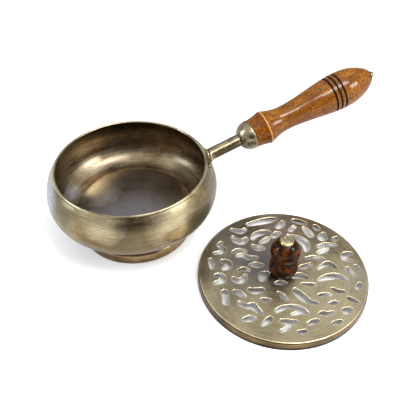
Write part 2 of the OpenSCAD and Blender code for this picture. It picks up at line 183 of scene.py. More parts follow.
def turned(name, line, steps=128, smooth=35):
    """Turns a section, in millimetres, about the Z axis at the origin."""
    bpy.ops.object.select_all(action="DESELECT")
    radius, height = max(line[0][0], POLE), line[0][1]
    bpy.ops.mesh.primitive_circle_add(
        vertices=steps, radius=radius * MM, location=(0, 0, height * MM)
    )
    piece = bpy.context.object
    piece.name = piece.data.name = name
    bpy.ops.object.mode_set(mode="EDIT")
    bpy.ops.mesh.select_all(action="SELECT")
    for next_radius, next_height in line[1:]:
        next_radius = max(next_radius, POLE)
        bpy.ops.mesh.extrude_region_move(
            TRANSFORM_OT_translate={"value": (0, 0, (next_height - height) * MM)}
        )
        grow = next_radius / radius
        bpy.ops.transform.resize(value=(grow, grow, 1), center_override=(0, 0, next_height * MM))
        radius, height = next_radius, next_height
    bpy.ops.object.mode_set(mode="OBJECT")
    close_up(3 * POLE)
    bpy.ops.object.shade_smooth_by_angle(angle=math.radians(smooth))
    return piece


# %% [markdown]
# A finished piece sits at the origin with its place in its mesh, as the frame's own pieces do, so that a
# pattern on it doesn't slide. It then says which body it rides on, its finish, and what it stands for.


# %% Set a piece down
def settle(piece, place, body, slot, nodes, *finishes):
    """Puts a piece in its place, with its finishes, for those nodes of the frame."""
    choose(piece)
    piece.matrix_world = place @ piece.matrix_world
    bpy.ops.object.transform_apply(location=True, rotation=True, scale=True)
    piece.data.materials.clear()
    for finish in finishes:
        piece.data.materials.append(finish)
    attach(piece, body)
    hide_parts(*nodes)
    print(piece.name, "faces:", len(piece.data.polygons))


# %% [markdown]
# Each finish is a small tree of nodes, and the same few steps come back in all of them, so they get short
# names. A finish reads the Object coordinates through a Mapping node, its seat, which lays its Z along the
# axis of the piece: the first three numbers are the place of that axis, and the last three its turn.

# %% Finish tools
PAN_SEAT = ((pan_axis.x, pan_axis.y, 0), (0, 0, 0))
LID_SEAT = ((lid_axis.x, lid_axis.y, 0), (0, 0, 0))
HANDLE_SEAT = (tuple(on_handle.translation), (0, math.pi / 2 - HANDLE_RISE, HANDLE_TURN))


def add_node(tree, kind, inputs=(), **settings):
    """A new node, with its settings, and its inputs set or linked."""
    made = tree.nodes.new("ShaderNode" + kind)
    for key, value in settings.items():
        setattr(made, key, value)
    for key, value in dict(inputs).items():
        if isinstance(value, bpy.types.NodeSocket):
            tree.links.new(value, made.inputs[key])
        else:
            made.inputs[key].default_value = value
    return made


class Finish:
    """A material under construction."""

    def __init__(self, name, seat):
        self.material = bpy.data.materials.new(name)
        self.material.use_nodes = True
        self.tree = self.material.node_tree
        self.shader = self.tree.nodes["Principled BSDF"]
        coords = self.tree.nodes.new("ShaderNodeTexCoord")
        mapping = self.tree.nodes.new("ShaderNodeMapping")
        mapping.vector_type = "TEXTURE"
        mapping.inputs["Location"].default_value = seat[0]
        mapping.inputs["Rotation"].default_value = seat[1]
        self.tree.links.new(coords.outputs["Object"], mapping.inputs["Vector"])
        self.place = mapping.outputs["Vector"]

    def node(self, kind, inputs=(), **settings):
        return add_node(self.tree, kind, inputs, **settings)

    def math(self, operation, first, second=0.0):
        return self.node("Math", {0: first, 1: second}, operation=operation).outputs[0]

    def spread(self, value, low, high, to_low=0.0, to_high=1.0):
        """A value spread from one range onto another, and held inside it."""
        return self.node(
            "MapRange",
            {"Value": value, "From Min": low, "From Max": high, "To Min": to_low, "To Max": to_high},
        ).outputs[0]

    def cloud(self, where, scale, detail=3.0, rough=0.5):
        """Soft noise, about 0.5 in the middle; scale is in patches per metre."""
        return self.node(
            "TexNoise", {"Vector": where, "Scale": scale, "Detail": detail, "Roughness": rough}
        ).outputs["Fac"]

    def mixed(self, amount, first, second, how="MIX"):
        """One colour laid over another."""
        made = self.node("Mix", data_type="RGBA", blend_type=how, clamp_factor=True)
        sockets = (made.inputs[0], made.inputs[6], made.inputs[7])
        for socket, value in zip(sockets, (amount, first, second)):
            if isinstance(value, bpy.types.NodeSocket):
                self.tree.links.new(value, socket)
            else:
                socket.default_value = (*value, 1.0) if isinstance(value, tuple) else value
        return made.outputs[2]

    def round_the_axis(self, along, across, waves=1.0):
        """Streaks that run round the axis: fine along it and outwards, and long round it."""
        parts = self.node("SeparateXYZ", {0: self.place})
        flat = self.node("CombineXYZ", {"X": parts.outputs[0], "Y": parts.outputs[1]}).outputs[0]
        out = self.node("VectorMath", {0: flat}, operation="LENGTH").outputs["Value"]
        ring = self.node("VectorMath", {0: flat}, operation="NORMALIZE").outputs["Vector"]
        ring = self.node("VectorMath", {0: ring, "Scale": waves}, operation="SCALE").outputs["Vector"]
        lift = self.node("CombineXYZ", {"Z": self.math("MULTIPLY", parts.outputs[2], along)}).outputs[0]
        where = self.node("VectorMath", {0: ring, 1: lift}, operation="ADD").outputs["Vector"]
        noise = self.node(
            "TexNoise",
            {"Vector": where, "W": self.math("MULTIPLY", out, across), "Scale": 1.0, "Detail": 4.0},
            noise_dimensions="4D",
        )
        return noise.outputs["Fac"]

    def bump(self, height, distance):
        """Small heights, in metres, that only the light shows."""
        return self.node("Bump", {"Height": height, "Distance": distance}).outputs["Normal"]

    def wire(self, **sockets):
        """Sets or links the shader's own sockets; an underscore stands for a space."""
        for key, value in sockets.items():
            socket = self.shader.inputs[key.replace("_", " ")]
            if isinstance(value, bpy.types.NodeSocket):
                self.tree.links.new(value, socket)
            else:
                socket.default_value = value
        print("finish:", self.material.name, "nodes:", len(self.tree.nodes))
        return self.material


# %% [markdown]
# Old brass has large stains, and light and shade are painted on it in the same way: highlights, reflections
# and shadows. Each is a soft round patch with a ragged edge: a place in millimetres from the axis, a radius,
# a strength and a colour. Where a sheet is pierced, its edges are rubbed bright. The ambient occlusion node
# finds them: it looks into the sheet, and near a cut it soon meets the other side.


# %% Stains, painted light and worn edges
def laid_stains_and_painted_light(f, colour, soft_patches):
    """Soft patches with ragged edges, of stain and of painted light and shade, laid over a colour."""
    ragged = f.cloud(f.place, 75.0, 4.0, 0.6)
    for place, size, strength, shade in soft_patches:
        centre = tuple(v * MM for v in place)
        off = f.node("VectorMath", {0: f.place, 1: centre}, operation="DISTANCE").outputs["Value"]
        tear = f.math("MULTIPLY", f.math("SUBTRACT", ragged, 0.5), 0.8 * size * MM)
        off = f.math("ADD", off, tear)
        colour = f.mixed(f.spread(off, 0.3 * size * MM, size * MM, strength, 0.0), colour, shade)
    return colour


def worn_edge(f, colour, width, shade):
    """A bright line, of that width in millimetres, along the edges of a sheet."""
    inside = f.node(
        "AmbientOcclusion", {"Distance": width * MM}, samples=8, inside=True, only_local=True
    )
    return f.mixed(f.spread(inside.outputs["AO"], 0.65, 0.99, 1.0, 0.0), colour, shade)


# %% [markdown]
# Under the stains and the painted light lies a thin brown and olive patina over pale gold, worn through in
# soft patches, with fine lines left by the lathe and a few dark specks. A picture could be wrapped round each
# piece, but noise has no seams, and one recipe makes all the brass of the set from three colours, from
# polished to tarnished.

# %% Aged brass
FINE_LINES = 1700.0  # per metre, and so are the next two
BROAD_STREAKS = 520.0
SPECKS = 340.0
LINE_DEPTH = 0.022 * MM
WORN_WIDTH = 1.1  # mm


def aged_brass(
    name, seat, colours, rough=(0.22, 0.38), patch=34.0, lines=0.3, soft_patches=(), edge=None
):
    """A brass, from a range of roughness, patches per metre and how dark the lathe's lines are."""
    bright, mid, dark = colours
    f = Finish(name, seat)
    fine = f.round_the_axis(FINE_LINES, FINE_LINES, 4.0)
    broad = f.round_the_axis(BROAD_STREAKS, BROAD_STREAKS, 3.0)
    patches = f.cloud(f.place, patch, 6.0, 0.62)
    specks = f.cloud(f.place, SPECKS, 4.0, 0.75)
    worn = f.math("ADD", f.math("MULTIPLY", broad, 0.32), f.math("MULTIPLY", patches, 0.7))
    colour = f.mixed(f.spread(worn, 0.38, 0.53), dark, mid)
    colour = f.mixed(f.spread(worn, 0.5, 0.66), colour, bright)
    colour = laid_stains_and_painted_light(f, colour, soft_patches)
    if edge:
        colour = worn_edge(f, colour, WORN_WIDTH, edge)
    colour = f.mixed(f.spread(specks, 0.55, 0.72, 0.0, 0.6), colour, dark)
    shade = f.spread(fine, 0.3, 0.7, 1.0 - lines, 1.0)
    shade = f.node("CombineColor", {"Red": shade, "Green": shade, "Blue": shade}).outputs[0]
    return f.wire(
        Base_Color=f.mixed(1.0, colour, shade, "MULTIPLY"),
        Metallic=1.0,
        Roughness=f.spread(f.math("ADD", fine, patches), 0.75, 1.25, *rough),
        Normal=f.bump(f.math("ADD", fine, f.math("MULTIPLY", specks, 0.6)), LINE_DEPTH),
    )


# %% [markdown]
# The bowl's outside is the warmest brass of the set. Shade is painted brown low on the belly, and a dark
# reflection is painted in the middle of its front. It is darker in a few patches along its side, and polished
# in two places under the rim, with a highlight painted there too. A bluish reflection of the window is
# painted at the left. The rim is worn, and the foot is more tarnished.

# %% Brass of the bowl's outside, its rim and its foot
bowl_brass_with_painted_light = aged_brass(
    "aged brass of the bowl with painted light",
    PAN_SEAT,
    ((0.56, 0.44, 0.25), (0.34, 0.245, 0.12), (0.14, 0.1, 0.048)),
    lines=0.38,
    soft_patches=[
        # painted shade, low on the front of the belly
        ((0, -60, 22), 60, 0.8, (0.17, 0.107, 0.046)),
        # a painted dark reflection in the middle of the front
        ((4, -64, 52), 20, 0.7, (0.14, 0.12, 0.075)),
        ((-46, -42, 58), 24, 0.85, (0.16, 0.145, 0.085)),
        # polished brass under the rim, with a highlight painted on it
        ((-15, -60, 63), 22, 0.85, (0.86, 0.72, 0.45)),
        # a painted bluish reflection of the window at the left
        ((-61, -22, 50), 22, 0.75, (0.54, 0.6, 0.68)),
        # polished brass under the rim at the right, with a highlight painted on it
        ((36, -54, 56), 24, 0.8, (0.76, 0.64, 0.41)),
        ((56, -36, 46), 22, 0.7, (0.15, 0.125, 0.08)),
        ((64, -10, 54), 22, 0.75, (0.17, 0.15, 0.11)),
    ],
)
foot_brass = aged_brass(
    "tarnished brass of the foot",
    PAN_SEAT,
    ((0.58, 0.42, 0.21), (0.38, 0.26, 0.125), (0.2, 0.125, 0.06)),
    lines=0.35,
)
rim_brass = aged_brass(
    "worn rim of the bowl",
    PAN_SEAT,
    ((0.66, 0.58, 0.4), (0.48, 0.4, 0.25), (0.3, 0.23, 0.13)),
    lines=0.1,
)

# %% [markdown]
# Inside, the brass is browner. Shade is painted under the back of the rim and over two gleams low on the
# wall.
# Light is painted on the left wall and where the wall meets the floor, with a glint and a pale lavender
# reflection painted at the left. The floor is greyer and smoother, with a bluish-grey reflection painted
# towards the front and a golden glint painted at the left.

# %% Brass of the bowl's inside
inner_brass_with_painted_light = aged_brass(
    "tarnished brass inside the bowl with painted light",
    PAN_SEAT,
    ((0.52, 0.39, 0.22), (0.28, 0.195, 0.1), (0.12, 0.082, 0.042)),
    rough=(0.24, 0.4),
    lines=0.5,
    soft_patches=[
        # painted light on the left wall
        ((-52, 34, 44), 30, 0.75, (0.5, 0.4, 0.25)),
        # painted shade under the back of the rim
        ((-8, 62, 58), 30, 0.8, (0.055, 0.042, 0.025)),
        ((36, 55, 40), 20, 0.85, (0.4, 0.27, 0.15)),
        ((50, 20, 30), 14, 0.5, (0.13, 0.11, 0.06)),
        # painted light where the wall meets the floor, in the middle and at the right
        ((-4, 53, 26), 26, 0.4, (0.36, 0.3, 0.2)),
        ((34, 44, 26), 22, 0.5, (0.56, 0.48, 0.35)),
        ((42, 45, 30), 16, 0.85, (0.2, 0.15, 0.085)),
        # a painted pale lavender reflection at the left
        ((-52, 11, 25), 13, 0.8, (0.7, 0.66, 0.64)),
        # a painted glint low on the left wall
        ((-40, 42, 27), 14, 0.6, (0.56, 0.47, 0.35)),
        # painted shade, which dims a gleam low on the far wall
        ((-22, 56, 29), 16, 0.75, (0.24, 0.2, 0.15)),
        # painted shade, which dims a gleam at the right
        ((44, 44, 28), 14, 0.6, (0.13, 0.1, 0.06)),
    ],
)
floor_brass_with_painted_light = aged_brass(
    "tarnished floor of the bowl with painted light",
    PAN_SEAT,
    ((0.3, 0.24, 0.19), (0.24, 0.19, 0.15), (0.17, 0.135, 0.105)),
    rough=(0.28, 0.36),
    patch=22.0,
    lines=0.15,
    soft_patches=[
        # a painted bluish-grey reflection towards the front
        ((2, -34, 22), 56, 0.85, (0.28, 0.285, 0.335)),
        # a painted golden glint at the left
        ((-35, 19, 22), 24, 0.9, (0.94, 0.86, 0.74)),
        ((-45, 3, 22), 13, 0.8, (0.14, 0.13, 0.14)),
        ((-2, 38, 22), 24, 0.5, (0.36, 0.3, 0.22)),
        ((34, 14, 22), 28, 0.7, (0.15, 0.115, 0.07)),
    ],
)

# %% [markdown]
# The lid's disc is paler and greener than the bowl. Reflections are painted on it: grey and darker at the
# back, dark beside the knob, where its shadow is painted too, and golden towards the front and the right,
# with light painted just in front of the knob. Its openings have bright filed edges. Its band is brown
# outside, with a shadow painted at its left, and painted shade makes it dark low down, inside and underneath.

# %% Brass of the lid
lid_brass_with_painted_light = aged_brass(
    "aged brass of the lid with painted light",
    LID_SEAT,
    ((0.54, 0.47, 0.305), (0.435, 0.37, 0.235), (0.285, 0.24, 0.15)),
    edge=(0.8, 0.7, 0.48),
    soft_patches=[
        # a painted grey reflection at the back left
        ((-24, 30, 7), 62, 0.8, (0.21, 0.19, 0.18)),
        # the knob's reflection and shadow, painted beside it
        ((-18, 6, 7), 24, 0.7, (0.13, 0.13, 0.15)),
        # a darker painted reflection at the back right
        ((36, 40, 7), 28, 0.4, (0.2, 0.18, 0.14)),
        # painted reflections of a light place, golden towards the front and the right
        ((10, -56, 7), 40, 0.6, (0.44, 0.38, 0.23)),
        ((34, -36, 7), 28, 0.7, (0.6, 0.51, 0.34)),
        # painted light just in front of the knob
        ((0, -19, 7), 15, 0.8, (0.7, 0.58, 0.36)),
        ((-4, 60, 7), 24, 0.7, (0.56, 0.53, 0.48)),
        # a paler painted reflection at the right
        ((60, -8, 7), 20, 0.5, (0.5, 0.46, 0.38)),
        ((-62, -8, 7), 18, 0.6, (0.22, 0.18, 0.12)),
    ],
)
# This finish also paints a highlight along the lid's shoulder.
cut_and_highlight_brass = aged_brass(
    "bright cut edges and painted shoulder highlight of the lid",
    LID_SEAT,
    ((0.95, 0.86, 0.62), (0.86, 0.75, 0.5), (0.62, 0.52, 0.32)),
    lines=0.08,
)
# Painted shade: the foot of the band, its inside and the lid's underside are made near black.
painted_shade_brass = aged_brass(
    "painted shade under the lid",
    LID_SEAT,
    ((0.12, 0.085, 0.045), (0.05, 0.035, 0.02), (0.02, 0.014, 0.008)),
)
band_brass_with_painted_shadow = aged_brass(
    "brown brass of the lid's band with painted shadow",
    LID_SEAT,
    ((0.32, 0.225, 0.11), (0.2, 0.135, 0.06), (0.09, 0.056, 0.027)),
    lines=0.2,
    # a shadow painted on the band's left, low down
    soft_patches=[((-61, -22, 4), 46, 0.8, (0.06, 0.042, 0.025))],
)

# %% [markdown]
# The rod and the cup are smoother, with small dark patches along the front of the rod. Shade is painted
# under the cup and low on it by the rod, and a grey reflection is painted on its upper back. In the handle's
# seat the first number of a place runs down, the second to the back, and the third along the handle. The
# eyelet is the yellowest brass of all.

# %% Brass of the handle and of the eyelet
handle_brass_with_painted_light = aged_brass(
    "polished brass of the handle with painted shade",
    HANDLE_SEAT,
    ((0.5, 0.43, 0.29), (0.32, 0.27, 0.17), (0.15, 0.12, 0.07)),
    rough=(0.2, 0.32),
    patch=60.0,
    lines=0.15,
    soft_patches=[
        ((1.5, -5, 7), 6.5, 0.85, (0.1, 0.07, 0.04)),
        ((1.5, -5, 14), 6.5, 0.8, (0.1, 0.07, 0.04)),
        ((1.5, -5, 21), 6.5, 0.85, (0.1, 0.07, 0.04)),
        # painted shade under the cup
        ((10, -4, 38), 8, 0.7, (0.07, 0.055, 0.035)),
        # painted shade low on the cup, by the rod
        ((5, -5, 29), 8, 0.85, (0.05, 0.04, 0.025)),
        # a grey reflection painted on the cup's upper back
        ((-6, 8, 34), 9, 0.6, (0.15, 0.16, 0.16)),
    ],
)
cap_brass = aged_brass(
    "polished brass of the eyelet",
    LID_SEAT,
    ((0.8, 0.66, 0.34), (0.68, 0.52, 0.24), (0.42, 0.3, 0.12)),
    rough=(0.16, 0.28),
    patch=120.0,
    lines=0.1,
)

# %% [markdown]
# The handle's pieces follow one another along its axis. The cup is counted from the bowl's side, and the
# ridge and the three rings of the grip from the cup's open edge. The wood's finish needs these places too.

# %% Places along the handle
CUP_AT, CUP_R, CUP_WALL, CUP_BAND = 27.5, 12.4, 1.5, 1.0
CUP_MID = CUP_AT + CUP_R
CUP_END = CUP_MID + CUP_BAND
RIDGE_AT = 12.5
RINGS = (74.5, 78.6, 82.7)
RING_HALF = 0.75
print("grip starts at:", CUP_END, "mm from the bowl, rings at:", RINGS)

# %% [markdown]
# Wood is drawn with two noises, each on a stretched place: a soft grain that runs along the axis, and short
# dark flecks that lie across it, as in beech. A third, large one shades the piece from light to dark.


# %% Wood tools
def wood_colour(f, shades, grain_scale, fleck_scale, across):
    """The wood's colour, with the way along its axis and its grain, for what is laid over it."""
    pale, mid, deep = shades
    parts = f.node("SeparateXYZ", {0: f.place})
    x, y, z = parts.outputs
    long_place = f.node("CombineXYZ", {"X": x, "Y": y, "Z": f.math("MULTIPLY", z, 0.15)}).outputs[0]
    cross_place = f.node(
        "CombineXYZ", {"X": f.math("MULTIPLY", x, across), "Y": f.math("MULTIPLY", y, across), "Z": z}
    ).outputs[0]
    grain = f.cloud(long_place, grain_scale, 4.0, 0.6)
    flecks = f.cloud(cross_place, fleck_scale, 3.0, 0.6)
    clouds = f.cloud(f.place, grain_scale * 0.15, 3.0, 0.55)
    colour = f.mixed(f.spread(clouds, 0.4, 0.6), pale, mid)
    colour = f.mixed(f.spread(grain, 0.45, 0.65, 0.0, 0.45), colour, deep)
    colour = f.mixed(f.spread(flecks, 0.44, 0.6, 0.0, 0.8), colour, deep)
    return colour, z, grain


def band_at(f, along, place, half, edge):
    """1 on a ring round the axis at that place, fading over its edge."""
    off = f.math("ABSOLUTE", f.math("SUBTRACT", along, place * MM))
    return f.spread(off, half * MM, (half + edge) * MM, 1.0, 0.0)


# %% [markdown]
# The grip is a pale hardwood with an amber stain under a clear lacquer. The stain is redder in front of the
# ridge, the ridge itself is rubbed to a light line that also carries a painted highlight, and a soft brown
# edge surrounds each burnt ring. The lacquer is the shader's coat, so the wood under it has no gloss of its
# own.

# %% Lacquered wood of the grip
RIDGE_END = CUP_END + RIDGE_AT
GRAIN_DEPTH = 0.03 * MM
f = Finish("amber wood of the grip", HANDLE_SEAT)
colour, along, grain = wood_colour(
    f, ((0.36, 0.135, 0.008), (0.235, 0.077, 0.003), (0.07, 0.017, 0.001)), 420.0, 1300.0, 0.32
)
front = f.spread(along, (RIDGE_END - 2.2) * MM, (RIDGE_END - 0.6) * MM, 1.0, 0.0)
colour = f.mixed(front, colour, (0.8, 0.68, 0.6), "MULTIPLY")
# the ridge: rubbed wood, with a highlight painted on its light line
colour = f.mixed(band_at(f, along, RIDGE_END, 0.2, 0.55), colour, (0.66, 0.29, 0.07))
for ring in RINGS:
    brown = band_at(f, along, CUP_END + ring, RING_HALF, 0.45)
    colour = f.mixed(brown, colour, (0.03, 0.008, 0.002))
grip_wood = f.wire(
    Base_Color=colour,
    Roughness=0.5,
    Specular_IOR_Level=0.0,
    Coat_Weight=0.6,
    Coat_Roughness=0.085,
    Normal=f.bump(grain, GRAIN_DEPTH),
)

# %% [markdown]
# In the rings the wood is charred: black, dull and a little rough. A colour alone would still shine like the
# lacquer, so it is a finish of its own.

# %% Burnt wood
CHAR_DEPTH = 0.05 * MM
f = Finish("burnt wood of the rings", HANDLE_SEAT)
char = f.cloud(f.place, 900.0, 3.0, 0.6)
burnt_wood = f.wire(
    Base_Color=f.mixed(f.spread(char, 0.35, 0.65), (0.003, 0.002, 0.0015), (0.009, 0.005, 0.003)),
    Roughness=0.7,
    Specular_IOR_Level=0.15,
    Normal=f.bump(char, CHAR_DEPTH),
)

# %% [markdown]
# The knob is a darker, redder wood with broad blotches and a thinner, sharper lacquer.

# %% Dark wood of the knob
f = Finish("dark wood of the knob", LID_SEAT)
colour, along, grain = wood_colour(
    f, ((0.11, 0.028, 0.003), (0.018, 0.006, 0.002), (0.004, 0.002, 0.001)), 900.0, 300.0, 0.8
)
knob_wood = f.wire(
    Base_Color=colour,
    Roughness=0.5,
    Specular_IOR_Level=0.02,
    Coat_Weight=0.25,
    Coat_Roughness=0.05,
    Normal=f.bump(grain, GRAIN_DEPTH),
)

# %% [markdown]
# The small fittings are plain steel, dulled, and a blackened washer at the grip's end. Both are stained in
# small patches, and finely scratched round the axis by the tool that cut them.

# %% Steel and blackened metal
SCRATCHES = 900.0  # per metre
SCRATCH_DEPTH = 0.04 * MM


def plain_metal(name, seat, bright, dark, rough):
    """A plain metal with small stains and scratches."""
    f = Finish(name, seat)
    streaks = f.round_the_axis(SCRATCHES, SCRATCHES, 2.0)
    soft_patches = f.cloud(f.place, 300.0, 3.0, 0.6)
    return f.wire(
        Base_Color=f.mixed(f.spread(soft_patches, 0.4, 0.65), dark, bright),
        Metallic=1.0,
        Roughness=f.spread(streaks, 0.35, 0.65, rough - 0.08, rough + 0.08),
        Normal=f.bump(streaks, SCRATCH_DEPTH),
    )


steel = plain_metal("dulled steel", LID_SEAT, (0.45, 0.44, 0.42), (0.26, 0.25, 0.23), 0.35)
black = plain_metal("blackened washer", HANDLE_SEAT, (0.012, 0.011, 0.01), (0.005, 0.005, 0.004), 0.5)

# %% [markdown]
# The bowl was spun from sheet: a round belly drawn in to a low shoulder, and a rolled bead at the rim.
# Inside, a flat floor was turned, and the tool left a fine groove where it meets the wall. The section runs
# from the middle of the underside out and up to the rim, and down again inside to the middle of the floor.

# %% The bowl
UNDER_R = 21.0
UNDER_C = BELLY_R - UNDER_R
UNDER_Z = BELLY_Z - UNDER_R
WALL = 1.4
FLOOR_Z, FLOOR_R = 22.4, 47.5
rim_turn = math.degrees(math.asin((BEAD_Z - BELLY_Z) / SHOULDER_R))
inner_turn = math.degrees(math.asin((BEAD_Z - BEAD_R - BELLY_Z) / (SHOULDER_R - WALL)))
wall_foot = -math.degrees(math.acos((FLOOR_R - UNDER_C) / (UNDER_R - WALL)))
groove = [(-0.05, 0.1), (-0.2, -0.15), (-0.5, -0.2), (-0.8, -0.05), (-1.2, 0.0)]
bowl_line = (
    [(r, UNDER_Z) for r in (0, 15, 30)]
    + arc(UNDER_C, BELLY_Z, UNDER_R, -90, 0, 22)
    + arc(SHOULDER_C, BELLY_Z, SHOULDER_R, 0, rim_turn, 18)[1:]
    + arc(RIM_R - BEAD_R, BEAD_Z, BEAD_R, 0, 180, 12)[1:]
    + arc(SHOULDER_C, BELLY_Z, SHOULDER_R - WALL, inner_turn, 0, 18)
    + arc(UNDER_C, BELLY_Z, UNDER_R - WALL, 0, wall_foot, 20)[1:]
    + [(FLOOR_R + out, FLOOR_Z + up) for out, up in groove]
    + [(r, FLOOR_Z) for r in (40, 30, 20, 10, 0)]
)
bowl = turned("bowl_spun", bowl_line, steps=160)
settle(
    bowl, on_pan, "pan", "aged_brass", ["bowl"],
    bowl_brass_with_painted_light, inner_brass_with_painted_light, floor_brass_with_painted_light, rim_brass,
)

# %% [markdown]
# The bowl is one mesh with four finishes. Each face is given its own by where it lies: on which side of the
# middle of the wall, on the flat floor, or on the bead.

# %% The bowl's four finishes
OUTSIDE, INSIDE, ON_FLOOR, ON_RIM = range(4)


def out_from(axis, point):
    """How far a point lies from an upright axis, in millimetres."""
    return math.hypot(point.x - axis.x, point.y - axis.y) / MM


def middle_of_wall(z):
    """The radius half way through the wall at a height."""
    if z > BELLY_Z:
        return shoulder_at(z, WALL / 2)
    return UNDER_C + math.sqrt(max((UNDER_R - WALL / 2) ** 2 - (z - BELLY_Z) ** 2, 0))


for face in bowl.data.polygons:
    out = out_from(pan_axis, face.center)
    up = face.center.z / MM
    if FLOOR_Z - 0.4 < up < BEAD_Z and out < middle_of_wall(up):
        on_floor = out < FLOOR_R - 0.3 and up < FLOOR_Z + 0.2
        face.material_index = ON_FLOOR if on_floor else INSIDE
    elif up > BEAD_Z + 0.05:
        face.material_index = ON_RIM
    else:
        face.material_index = OUTSIDE
print("faces inside and on the rim:", sum(face.material_index > 0 for face in bowl.data.polygons))

# %% [markdown]
# The foot is an upright brass band with a narrow ledge, drawn in to a neck that is soldered under the bowl.
# Its edges are rounded by use, so each is drawn with a few points.

# %% The foot ring
FOOT_R, NECK_R, FOOT_WALL, FOOT_TOP = 46.0, 44.0, 1.8, 21.52
neck_in, foot_in = NECK_R - FOOT_WALL, FOOT_R - FOOT_WALL
foot_line = [
    # up to the bowl, and down the outside of the neck to the ledge
    (neck_in, FOOT_TOP), (NECK_R, FOOT_TOP), (NECK_R, 9.4), (NECK_R + 0.1, 9.05), (NECK_R + 0.5, 8.82),
    (NECK_R + 1.1, 8.6), (NECK_R + 1.55, 8.3), (FOOT_R - 0.13, 7.85),
    # down the band to the table
    (FOOT_R, 7.3), (FOOT_R, 0.9), (FOOT_R - 0.05, 0.35), (FOOT_R - 0.3, 0.08), (FOOT_R - 0.7, 0.0),
    # and up again inside
    (foot_in + 0.4, 0.0), (foot_in + 0.1, 0.15), (foot_in, 0.5), (foot_in, 6.7), (foot_in - 0.3, 7.15),
    (neck_in + 0.3, 7.8), (neck_in, 8.2), (neck_in, FOOT_TOP),
]
foot = turned("foot_ring_turned", foot_line, steps=160)
settle(foot, on_pan, "pan", "aged_brass", ["foot_ring"], foot_brass)

# %% [markdown]
# The handle's rod is brazed to a thin strap that lies along the shoulder, under the rim. The strap is bent
# sheet, so the frame's own mesh has the right bend already: it is copied, merged, and its edges are broken.

# %% The strap
MERGE = 0.003  # mm, the corners of the frame's loose triangles that are one point
choose(frame["nodes"]["handle_bracket"])
bpy.ops.object.duplicate(linked=False)
strap = bpy.context.object
strap.name = strap.data.name = "strap_bent"
bpy.ops.object.parent_clear(type="CLEAR_KEEP_TRANSFORM")
close_up(MERGE)
edges = strap.modifiers.new("edges", "BEVEL")
edges.width = 0.15 * MM
edges.segments = 2
edges.angle_limit = math.radians(50)
bpy.ops.object.modifier_apply(modifier=edges.name)
bpy.ops.object.shade_smooth_by_angle(angle=math.radians(35))
settle(strap, Matrix.Identity(4), "pan", "aged_brass", ["handle_bracket"], bowl_brass_with_painted_light)

# %% [markdown]
# The rod swells a little where the brazing filled the corner, and inside the cup it is turned down to a tang
# that runs through the whole grip to the nut.

# %% The rod
ROD_R, TANG_R, BORE_R = 5.25, 2.0, 2.1
BRAZE_R, BRAZE_L = 6.7, 2.2
GRIP_L = 112.5
cup_floor = CUP_END - 8.0
grip_end = CUP_END + GRIP_L
tang_end = grip_end + 4.8
rod_line = (
    [(0, -0.4), (BRAZE_R, -0.4), (BRAZE_R, 0.4)]
    + [(ROD_R + (BRAZE_R - ROD_R) * (1 - t / 5) ** 2.2, 0.4 + BRAZE_L * t / 5) for t in range(1, 6)]
    + [(ROD_R, 10.0), (ROD_R, 20.0), (ROD_R, cup_floor + 0.6), (ROD_R - 0.4, cup_floor + 1.0)]
    + [(TANG_R, cup_floor + 1.0), (TANG_R, tang_end - 0.2), (TANG_R - 0.3, tang_end), (0, tang_end)]
)
rod = turned("rod_turned", rod_line, steps=64)
settle(rod, on_handle, "pan", "polished_brass", ["handle_rod"], handle_brass_with_painted_light)

# %% [markdown]
# The cup is half a hollow ball, spun over a form, with a hole for the rod and a short upright band whose open
# edge is rounded. The grip's front end sits in it.

# %% The cup
hole_r = ROD_R + 0.1
cup_in = CUP_R - CUP_WALL
cup_hole = math.acos(hole_r / CUP_R)
inner_hole = math.degrees(math.asin((CUP_MID - cup_floor) / cup_in))
cup_line = (
    arc(0, CUP_MID, CUP_R, -math.degrees(cup_hole), 0, 20)
    + [(CUP_R, CUP_MID + 0.4), (CUP_R - 0.08, CUP_END - 0.2), (CUP_R - 0.3, CUP_END)]
    + [(cup_in, CUP_END), (cup_in, CUP_MID)]
    + arc(0, CUP_MID, cup_in, 0, -inner_hole, 8)[1:]
    + [(hole_r, cup_floor), (hole_r, CUP_MID - CUP_R * math.sin(cup_hole))]
)
cup = turned("cup_spun", cup_line, steps=96)
settle(cup, on_handle, "pan", "polished_brass", ["handle_cup"], handle_brass_with_painted_light)

# %% [markdown]
# The grip is one turning: a short cone up to a ridge, a narrow waist, a long swell and a rounded end. A few
# plain curves give its radius. Three rings were burnt into the swell with a wire, so each is a groove too.

# %% The grip's outline
WAIST_AT, SWELL_AT = 30.5, 85.5
FRONT_R, RIDGE_R, WAIST_R, SWELL_R, END_R = 12.1, 14.4, 10.4, 15.7, 6.8
END_SLOPE = 0.7
END_ROUND = 0.5
GROOVE_DEPTH = 0.6


def bent(t, start, end, fall, span):
    """A smooth curve between two radii that leaves level and arrives falling at the given slope."""
    mix = 3 * t**2 - 2 * t**3
    return start * (1 - mix) + end * mix + fall * span * (t**2 - t**3)


def off_rings(s):
    """How far a place along the grip is from the nearest ring."""
    return min(abs(s - ring) for ring in RINGS)


def grip_radius(s):
    """The grip's radius at a distance from the cup."""
    if s < RIDGE_AT:
        radius = FRONT_R + (RIDGE_R - FRONT_R) * (s / RIDGE_AT) ** 1.6
    elif s < WAIST_AT:
        t = (s - RIDGE_AT) / (WAIST_AT - RIDGE_AT)
        radius = WAIST_R + (RIDGE_R - WAIST_R) * (1 - math.sin(math.pi / 2 * t))
    elif s < SWELL_AT:
        t = (s - WAIST_AT) / (SWELL_AT - WAIST_AT)
        radius = bent(t, WAIST_R, SWELL_R, 0, SWELL_AT - WAIST_AT)
    else:
        span = GRIP_L - SWELL_AT - END_ROUND
        radius = bent(min((s - SWELL_AT) / span, 1), SWELL_R, END_R + 1.0, END_SLOPE, span)
    return radius - GROOVE_DEPTH * max(0.0, 1 - (off_rings(s) / RING_HALF) ** 2)


